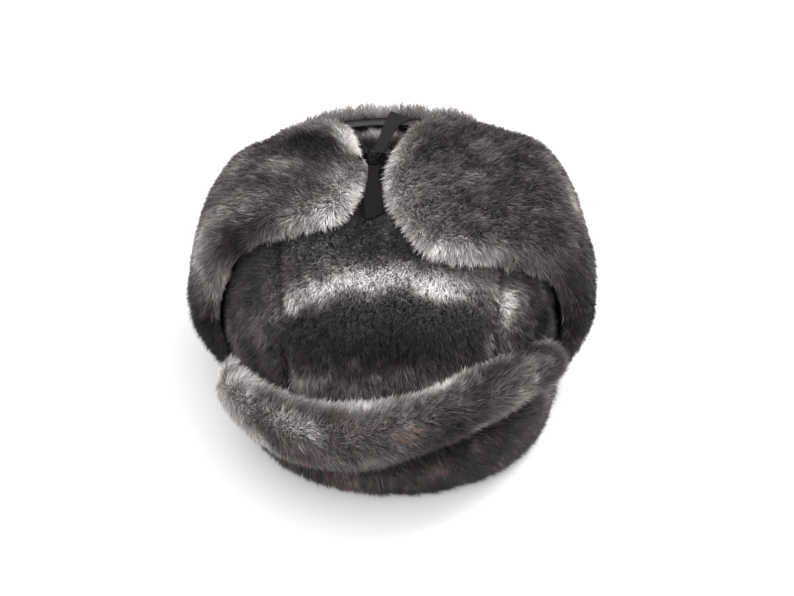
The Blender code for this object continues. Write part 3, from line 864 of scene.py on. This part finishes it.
def grosgrain_tape():
    """Black grosgrain tape: 76 fine cross ribs along its own map, a little lighter, with dull highlights."""
    made, tree, surface = new_material("black_grosgrain_tape")
    place = node(tree, "ShaderNodeUVMap", {"uv_map": "OFBake"})
    weave = {"bands_direction": "Y", "Scale": 24.0, "Distortion": 0.4}
    ribs = node(tree, "ShaderNodeTexWave", weave, Vector=place.outputs["UV"])
    shade = ramp(tree, ribs.outputs["Fac"], ((0.1, "#080707"), (0.9, "#181514")))
    finished(tree, surface, shade.outputs["Color"], ribs.outputs["Fac"], 0.5, 0.0004, 0.7)
    surface.inputs["Specular IOR Level"].default_value = 0.1
    return made


def shown(name, mesh):
    """Links a finished mesh as a piece that rides with the hat."""
    piece = bpy.data.objects.new(name, mesh)
    bpy.context.scene.collection.objects.link(piece)
    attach(piece, "root")
    return piece


def grid_quads(rows, columns, first, flip):
    """The quads of a grid whose vertices start at first."""
    i, j = np.meshgrid(np.arange(rows - 1), np.arange(columns - 1), indexing="ij")
    corner = (first + i * columns + j).ravel()
    quads = np.stack([corner, corner + columns, corner + columns + 1, corner + 1], -1)
    return quads[:, ::-1] if flip else quads


def pelt_piece(name, node_name, pelt, look, ground, backing):
    """The pelt as one closed body: its ground outside, its backing inside, and a wall round the border."""
    outer, inner = pelt["outer"], pelt["inner"]
    rows, columns = outer.shape[:2]
    points = np.concatenate([outer.reshape(-1, 3), inner.reshape(-1, 3)])
    index = np.arange(rows * columns).reshape(rows, columns)
    ring = np.concatenate([index[0, :-1], index[:-1, -1], index[-1, :0:-1], index[:0:-1, 0]])
    back = ring + rows * columns
    wall = np.stack([ring, np.roll(ring, -1), np.roll(back, -1), back], -1)
    outside = grid_quads(rows, columns, 0, False)
    inside = grid_quads(rows, columns, rows * columns, True)
    faces = np.concatenate([outside, wall, inside])
    if not pelt["faces_out"]:
        faces = faces[:, ::-1]
    mesh = bpy.data.meshes.new(name)
    mesh.from_pydata(points.tolist(), [], faces.tolist())
    mesh.materials.append(ground)
    mesh.materials.append(backing)
    lined = pelt["place"][:-1, :-1, 1].ravel() >= pelt["fur_end"]
    lined_wall = np.full(len(wall), pelt["fur_end"] < 1)
    slots = np.concatenate([lined, lined_wall, np.ones(len(inside))]).astype(np.int32)
    mesh.polygons.foreach_set("material_index", slots)
    # The ground takes the pile's tone, its painted sheen and painted shade included.
    tone = GREY_END * np.clip(tone_field(pelt, look)[0] - GROUND_DIMNESS, 0, 1).ravel()
    tone = np.concatenate([tone, tone])[faces.ravel()]
    layer = mesh.uv_layers.new(name="OFBake")
    layer.data.foreach_set("uv", np.stack([tone, 0.5 + 0 * tone], -1).astype(np.float32).ravel())
    mesh.shade_smooth()
    mesh.set_sharp_from_angle(angle=math.radians(SHARP_ANGLE))
    piece = shown(name, mesh)
    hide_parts(node_name)


def pelt_frame(pelt):
    """Adds the pelt's directions, distances from its edges, shares of its ways, shade and patches' wander."""
    outer = pelt["outer"]
    along = unit(np.gradient(outer, axis=0))
    across = np.gradient(outer, axis=1)
    across = unit(across - along * np.sum(across * along, axis=-1, keepdims=True))
    normal = unit(np.cross(along, across))
    turned = np.sum(normal * (outer - pelt["inner"]))
    pelt["faces_out"] = bool(turned > 0)
    pelt["normal"] = normal if turned > 0 else -normal
    pelt["along"], pelt["across"] = along, across
    pelt["ways"] = np.stack(edge_ways(outer), -1)
    pelt["shade"] = pelt.get("shade", np.zeros(outer.shape[:2]))[..., None]
    first, second = shares(*outer.shape[:2])
    pelt["place"] = np.stack(np.broadcast_arrays(first, second), -1)
    pelt["fur_end"] = pelt.get("fur_end", 1.0)
    pelt["wander"] = PATCH_WANDER / pelt["ways"][..., (0, 2)].max(axis=(0, 1))


def sample_roots(pelt, count, random, on_crown):
    """Strand roots spread evenly over the pelt's area, with what the pelt knows there.

    Cells are drawn by their area, and a root lies at random in its cell, blended between the corners. On the
    crown none grow where a flap or the visor covers it.
    """
    outer = pelt["outer"]
    side_a = outer[1:, :-1] - outer[:-1, :-1]
    side_b = outer[:-1, 1:] - outer[:-1, :-1]
    area = np.linalg.norm(np.cross(side_a, side_b), axis=-1)
    if on_crown:
        aim = pelt["aim"][:-1, :-1]
        area = area * ~(under_ear(LEFT, aim) | under_ear(RIGHT, aim) | under_wall_flap(aim))
    area = area * (pelt["place"][:-1, :-1, 1] < pelt["fur_end"])
    reach = np.cumsum(area.ravel())
    picks = (np.arange(count) + random.random(count)) / count * reach[-1]
    cell = np.minimum(np.searchsorted(reach, picks), area.size - 1)
    i, j = np.divmod(cell, area.shape[1])
    s, t = random.random(count)[:, None], random.random(count)[:, None]

    def blend(grid):
        near = grid[i, j] * (1 - t) + grid[i, j + 1] * t
        far = grid[i + 1, j] * (1 - t) + grid[i + 1, j + 1] * t
        return near * (1 - s) + far * s

    keys = ("outer", "normal", "along", "across", "ways", "shade", "place")
    roots = {key: blend(pelt[key]) for key in keys}
    return {**roots, "radii": pelt["radii"], "wander": pelt["wander"]}


def nearest_clumps(points, size, seed):
    """For each point the nearest clump centre and its random mark. Each cell of a lattice has one centre."""
    cell = np.floor(points / size).astype(np.int64)
    best = np.full(len(points), 1e9)
    centre = np.zeros_like(points)
    mark = np.zeros(len(points))
    for step in np.ndindex(3, 3, 3):
        lattice = cell + np.array(step) - 1
        base = mixed_cells(lattice)
        salted = [(base ^ (seed + salt) * SEED_MIX) & 0xFFFFFFFF for salt in CLUMP_SALTS]
        parts = [scrambled(mixed) / 65536 for mixed in salted]
        candidate = (lattice + np.stack(parts[:3], -1)) * size
        away = np.sum((candidate - points) ** 2, axis=1)
        nearer = away < best
        best = np.where(nearer, away, best)
        centre = np.where(nearer[:, None], candidate, centre)
        mark = np.where(nearer, parts[3], mark)
    return centre, mark


def patches(rows, roots):
    """The sum of the patches: each is its change times exp(-(a^2 + b^2)), a and b the ways from its middle.

    A way counts in the patch's own half lengths, and noise moves the places so that no patch is a plain oval.
    """
    points = roots["outer"]
    moved = []
    for k, size in enumerate(WANDER_SIZES):
        noise = lattice_noise(points, size, PATCH_SEED + k)
        moved.append(roots["place"][..., k] + roots["wander"][k] * noise)
    first, second = moved
    total = np.zeros(first.shape)
    for middle, across, half, wide, change in rows:
        total += change * np.exp(-(((first - middle) / half) ** 2) - ((second - across) / wide) ** 2)
    return total * (1 + PATCH_TUFTS * lattice_noise(points, PATCH_TUFT_SIZE, PATCH_SEED + 2))


def edge_nearness(way):
    """1 on an edge and falling off inside it, at distances from it."""
    return np.exp(-((way / EDGE_REACH) ** EDGE_FADE))


def tone_field(roots, look):
    """The pile's tone, how much of it is patches and noise, and how near each place is to a rounded edge."""
    points = roots["outer"]
    light = with_noise(patches(PAINTED_SHEEN_AND_SHADE[look["piece"]], roots), points, TONE_NOISE, look["seed"])
    size, step = FLECK_NOISE
    flecks = lattice_noise(points, size, look["seed"] + step)
    light = light + FLECK_STRENGTH * np.clip(flecks - FLECK_LEVEL, 0, 1)
    # The patches add painted sheen and painted shade, and the pelt's shade grid adds painted shade, to the
    # pile's own tone.
    tone = look["tone"] + light + roots["shade"][..., 0]
    edge = np.zeros(tone.shape)
    for k, radius in enumerate(roots["radii"]):
        if radius:
            way = roots["ways"][..., k]
            edge = np.maximum(edge, edge_nearness(way))
            # Painted shade in the grooves of the seams.
            tone = tone + look["seam_shade"] * np.exp(-((way / SEAM_REACH) ** 2))
    # Painted sheen along the rounded edges.
    return tone + look["edge_sheen"] * edge, light, edge


def combed(roots, comb, look, edge, mark, random):
    """The way each strand leans over the pelt: the comb, splayed out at the edges, and turned by noise."""
    points, normal = roots["outer"], roots["normal"]
    outward = np.zeros_like(points)
    directions = (-roots["along"], roots["along"], -roots["across"], roots["across"])
    for k, direction in enumerate(directions):
        if roots["radii"][k]:
            outward += edge_nearness(roots["ways"][:, k])[:, None] * direction
    swirl = with_noise(0, points, SWIRL_NOISE, look["seed"])
    turned = random.normal(0, math.radians(STRAND_SWIRL), len(points))
    swirl += math.radians(CLUMP_SWIRL) * (mark - 0.5) + turned
    flow = unit(comb(points) + 0 * points)
    kept = 1 - COMB_LOSS_AT_EDGE * edge * look["splay"]
    flow = flow * kept[:, None] + EDGE_SPLAY * outward * look["splay"]
    flow = unit(flow - normal * np.sum(flow * normal, axis=1, keepdims=True))
    beside = np.cross(normal, flow)
    return flow * np.cos(swirl)[:, None] + beside * np.sin(swirl)[:, None]


def strand_lengths(roots, length, look, edge, mark, stray, random):
    """How long each strand is: by chance, by its clump, ragged by noise, and cut at the rounded edges."""
    points = roots["outer"]
    by_chance = LENGTH_SPREAD * random.normal(0, 1, len(points))
    reach = look["long"] * length * (1 + by_chance + CLUMP_LENGTH * (mark - 0.5))
    reach = reach * (1 + STRAY_LENGTH * stray)
    size, step = RAGGED_NOISE
    reach = reach * (1 + look["ragged"] * lattice_noise(points, size, look["seed"] + step))
    reach = reach * (1 + patches(LONG_PLACES.get(look["piece"], ()), roots))
    return (reach * (1 - look["edge_cut"] * edge))[:, None]


def strands(pelt, count, comb, look, random, width, length, dimness):
    """Bent, tapered strands that lean the way the pile is combed, and their tones.

    A strand is two straight lengths that lean from the pelt's normal by LOW_LEAN and HIGH_LEAN times its
    lean, the way it is combed. Its flat side turns at random about its length. Clumps share a turn of the
    comb and pull their tips together, and the tone field changes tone and lean.
    """
    roots = sample_roots(pelt, count, random, look["on_crown"])
    roots["normal"] = unit(roots["normal"])
    points, normal = roots["outer"], roots["normal"]
    tone, light, edge = tone_field(roots, look)
    centre, mark = nearest_clumps(points, CLUMP_SIZE, look["seed"])
    stray = random.random(count) < STRAY_SHARE
    spread = TONE_SPREAD + PATCH_SPREAD * np.abs(light)
    tone = tone + CLUMP_TONE * (mark - 0.5) + random.normal(0, 1, count) * spread - dimness
    tone = tone + STRAY_TONE * stray
    flow = combed(roots, comb, look, edge, mark, random)
    lean = with_noise(look["lean"] + LEAN_IN_PATCHES * light, points, LEAN_NOISE, look["seed"])
    lean = lean - LEAN_LOSS_AT_EDGE * edge + random.normal(0, LEAN_SPREAD, count)
    lean = np.radians(np.clip(lean, LEAST_LEAN, MOST_LEAN))[:, None]
    reach = strand_lengths(roots, length, look, edge, mark, stray, random)
    low = normal * np.cos(LOW_LEAN * lean) + flow * np.sin(LOW_LEAN * lean)
    high = normal * np.cos(HIGH_LEAN * lean) + flow * np.sin(HIGH_LEAN * lean)
    root = points - normal * ROOT_DEPTH
    pull = centre - points
    pull = pull - normal * np.sum(pull * normal, axis=1, keepdims=True)
    bend = root + low * reach * LOW_PART + PULL_AT_BEND * pull
    tip = root + low * reach * LOW_PART + high * reach * HIGH_PART + PULL_AT_TIP * pull
    twist = random.normal(0, look["twist"], count)[:, None]
    side = unit(np.cross(normal, low))
    flat = np.cos(twist) * side + np.sin(twist) * np.cross(low, side)
    half = (width * (LEAST_WIDTH + WIDTH_RANGE * random.random(count)))[:, None] / 2
    thinner = WIDTH_AT_BEND * flat * half
    places = np.stack((root - flat * half, root + flat * half, bend - thinner, bend + thinner, tip), 1)
    floor = FLOOR_GAP + FLOOR_RANGE * random.random(count)[:, None]
    places[..., 2] = np.maximum(places[..., 2], floor)
    tone = GREY_END * np.clip(tone, 0, 1)
    if look["piece"] == "front_visor":
        brown = random.random(count) < patches(BROWN_PATCHES, roots)
        tone = np.where(brown, BROWN_START + BROWN_RANGE * np.clip(tone * BROWN_GAIN, 0, 1), tone)
    return places, tone


def coat(name, pelt, count, comb, look, pile):
    """The coat of one piece: fine bent strands over a denser, shorter and dimmer underfur of plain tips."""
    random = np.random.default_rng(look["seed"])
    places, tone = strands(pelt, count, comb, look, random, STRAND_WIDTH, STRAND_LENGTH, 0.0)
    many = round(count * UNDERFUR_PER_STRAND)
    fur = (UNDERFUR_WIDTH, UNDERFUR_LENGTH, UNDERFUR_DIMNESS)
    under, under_tone = strands(pelt, many, comb, look, random, *fur)
    mesh = strand_mesh(name, places, tone, under[:, (0, 1, 4)], under_tone)
    mesh.materials.append(pile)
    shown(name, mesh)


def strand_mesh(name, places, tone, under, under_tone):
    """Strands of a quad and a tip each, underfur of a tip each. The map's u is the tone, v the length."""
    count = len(places)
    loops = len(STRAND_LOOPS)
    first = (np.arange(count) * STRAND_CORNERS)[:, None]
    corners = (first + np.array(STRAND_LOOPS)).ravel()
    starts = (np.arange(count)[:, None] * loops + np.array(STRAND_STARTS)).ravel()
    loose = np.arange(len(under) * 3)
    mesh = bpy.data.meshes.new(name)
    points = np.concatenate([places.reshape(-1, 3), under.reshape(-1, 3)])
    mesh.vertices.add(len(points))
    mesh.vertices.foreach_set("co", points.astype(np.float32).ravel())
    corners = np.concatenate([corners, count * STRAND_CORNERS + loose])
    mesh.loops.add(len(corners))
    mesh.loops.foreach_set("vertex_index", corners.astype(np.int32))
    starts = np.concatenate([starts, count * loops + loose[::3]])
    mesh.polygons.add(len(starts))
    mesh.polygons.foreach_set("loop_start", starts.astype(np.int32))
    mesh.update(calc_edges=True)
    layer = mesh.uv_layers.new(name="OFBake")
    maps = []
    for tones, rows in ((tone, STRAND_MAP), (under_tone, TIP_MAP)):
        side, up = np.array(rows).T
        u = tones[:, None] + MAP_HALF_WIDTH * side
        maps.append(np.stack([u, up + 0 * u], -1).reshape(-1, 2))
    layer.data.foreach_set("uv", np.concatenate(maps).astype(np.float32).ravel())
    mesh.shade_smooth()
    return mesh


def one_way(direction):
    """A comb that runs one way all over a piece."""

    def comb(points):
        return np.array(direction) + 0 * points

    return comb


def visor_comb(points):
    """Combed along the roll to the wearer's left, down on its lower half and up on its upper half."""
    flow = np.zeros_like(points)
    flow[:, 0] = VISOR_COMB_ALONG
    flow[:, 2] = VISOR_COMB_RISE * np.clip((points[:, 2] - VISOR_COMB_LEVEL) / VISOR_COMB_FADE, -1, 1)
    return flow


def tape_piece(name, node_name, tape):
    """The woven tape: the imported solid's own strip, remade with a map along it."""
    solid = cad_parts[node_name]
    mesh = solid.data.copy()
    mesh.name = name
    mesh.materials.clear()
    mesh.materials.append(tape)
    places = np.zeros(len(mesh.vertices) * 3)
    mesh.vertices.foreach_get("co", places)
    places = places.reshape(-1, 3)
    corners = np.zeros(len(mesh.loops), dtype=np.int32)
    mesh.loops.foreach_get("vertex_index", corners)
    while mesh.uv_layers:
        mesh.uv_layers.remove(mesh.uv_layers[0])
    layer = mesh.uv_layers.new(name="OFBake")
    low, high = places.min(axis=0), places.max(axis=0)
    uv = ((places - low) / (high - low + FLAT_GUARD))[corners][:, :2]
    layer.data.foreach_set("uv", uv.astype(np.float32).ravel())
    piece = shown(name, mesh)
    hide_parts(node_name)


def frayed_threads(tape):
    """Loose ends of the tape's threads round the knot: thin blades that rise and spread from a short line."""
    random = np.random.default_rng(FRAY_SEED)
    low, high = np.array(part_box("tie_knot"))
    middle = (low + high) / 2
    spread = random.uniform(-1, 1, FRAY_COUNT)
    across = middle[0] + FRAY_LINE * spread
    root = np.stack([across, middle[1] + random.normal(0, FRAY_BAND, FRAY_COUNT), 0 * spread], -1)
    root[:, 2] = high[2] - FRAY_DEPTH - FRAY_DROOP * np.abs(spread)
    outward = FRAY_OUTWARD * spread + random.normal(0, FRAY_SPREAD, FRAY_COUNT)
    forward = random.normal(FRAY_FORWARD, FRAY_SPREAD, FRAY_COUNT)
    way = unit(np.stack([outward, forward, 0 * spread + 1], -1))
    curl = [random.normal(0, FRAY_CURL, FRAY_COUNT) for _ in range(2)]
    turn = np.stack([*curl, FRAY_SAG + 0 * spread], -1)
    long = random.uniform(*FRAY_LENGTHS, FRAY_COUNT)[:, None]
    bend = root + way * long * LOW_PART
    tip = bend + unit(way + turn) * long * HIGH_PART
    flat = unit(np.cross(way, np.array([0.0, 1.0, 0.0]))) * FRAY_HALF_WIDTH
    corners = np.stack((root - flat, root + flat, bend - flat, bend + flat, tip), 1)
    mesh = strand_mesh("tie_frays", corners, FRAY_TONE + 0 * spread, np.zeros((0, 3, 3)), np.zeros(0))
    mesh.materials.append(tape)
    shown("tie_frays", mesh)


def build():
    """Makes every piece of the hat."""
    pile, ground, backing, tape = shorn_pile(), pelt_ground(), twill_backing(), grosgrain_tape()
    furs = (
        ("crown_center", crown_center(), 27000, one_way(FORWARDS), CROWN_LOOK),
        ("crown_side_left", crown_side(LEFT), 9000, one_way(FORWARDS), CROWN_LOOK),
        ("crown_side_right", crown_side(RIGHT), 9000, one_way(FORWARDS), CROWN_LOOK),
        ("ear_flap_left", ear_flap(LEFT), 35000, one_way(OUTWARDS[LEFT]), PLAIN_LOOK),
        ("ear_flap_right", ear_flap(RIGHT), 33000, one_way(OUTWARDS[RIGHT]), PLAIN_LOOK),
        ("neck_flap", neck_flap(), 26000, one_way(UP), NECK_LOOK),
        ("front_visor", front_visor(), 34000, visor_comb, VISOR_LOOK),
    )
    for seed, (name, pelt, strand_count, comb, look) in enumerate(furs, 1):
        look = {**look, "piece": name, "seed": seed}
        pelt_frame(pelt)
        pelt_piece(name + "_pelt", name, pelt, look, ground, backing)
        coat(name + "_coat", pelt, strand_count, comb, look, pile)
    for name in ("tie_knot", "tie_tail_front", "tie_tail_back"):
        tape_piece(name + "_tape", name, tape)
    frayed_threads(tape)


def paper_floor():
    """A flat floor of matt white paper."""
    mesh = bpy.data.meshes.new("floor")
    corners = [(x * FLOOR_HALF_SIZE, y * FLOOR_HALF_SIZE, 0) for x, y in ((-1, -1), (1, -1), (1, 1), (-1, 1))]
    mesh.from_pydata(corners, [], [(0, 1, 2, 3)])
    floor = bpy.data.objects.new("floor", mesh)
    bpy.context.scene.collection.objects.link(floor)
    made, tree, surface = new_material("white_paper_floor")
    surface.inputs["Base Color"].default_value = hex_colour("#f7f7f7")
    surface.inputs["Roughness"].default_value = 0.9
    mesh.materials.append(made)


def soft_lamp(name, place, size, power):
    """A round soft lamp that faces the hat."""
    lamp = bpy.data.lights.new(name, "AREA")
    lamp.shape = "DISK"
    lamp.size = size
    lamp.energy = power
    holder = bpy.data.objects.new(name, lamp)
    holder.location = place
    toward = np.array(LAMP_AIM) - np.array(place)
    yaw = math.atan2(toward[0], -toward[1])
    pitch = math.atan2(np.hypot(toward[0], toward[1]), -toward[2])
    holder.rotation_euler = (pitch, 0.0, yaw + math.pi)
    bpy.context.scene.collection.objects.link(holder)


def studio():
    """A white floor, a pale surround, a soft key from the right behind the hat and a weaker front lamp."""
    paper_floor()
    world = bpy.data.worlds.new("surround")
    bpy.context.scene.world = world
    world.use_nodes = True
    background = world.node_tree.nodes["Background"]
    background.inputs["Color"].default_value = (1, 1, 1, 1)
    background.inputs["Strength"].default_value = SURROUND_STRENGTH
    bpy.context.scene.view_settings.view_transform = "Standard"
    for lamp in LAMPS:
        soft_lamp(*lamp)


def camera():
    """The photograph's view: in front of the hat and above the floor, at the photograph's scale."""
    elevation = math.radians(CAMERA_ELEVATION)
    lens = bpy.data.cameras.new("camera")
    lens.sensor_width = SENSOR_WIDTH
    lens.lens = SENSOR_WIDTH * PIXELS_PER_METRE * CAMERA_AWAY / PHOTO_PIXELS_WIDE
    eye = bpy.data.objects.new("camera", lens)
    back = np.array([0.0, -math.cos(elevation), math.sin(elevation)])
    eye.location = np.array(CAMERA_AIM) + CAMERA_AWAY * back
    eye.rotation_euler = (math.pi / 2 - elevation, 0.0, 0.0)
    bpy.context.scene.collection.objects.link(eye)
    bpy.context.scene.camera = eye


camera()
build()
studio()
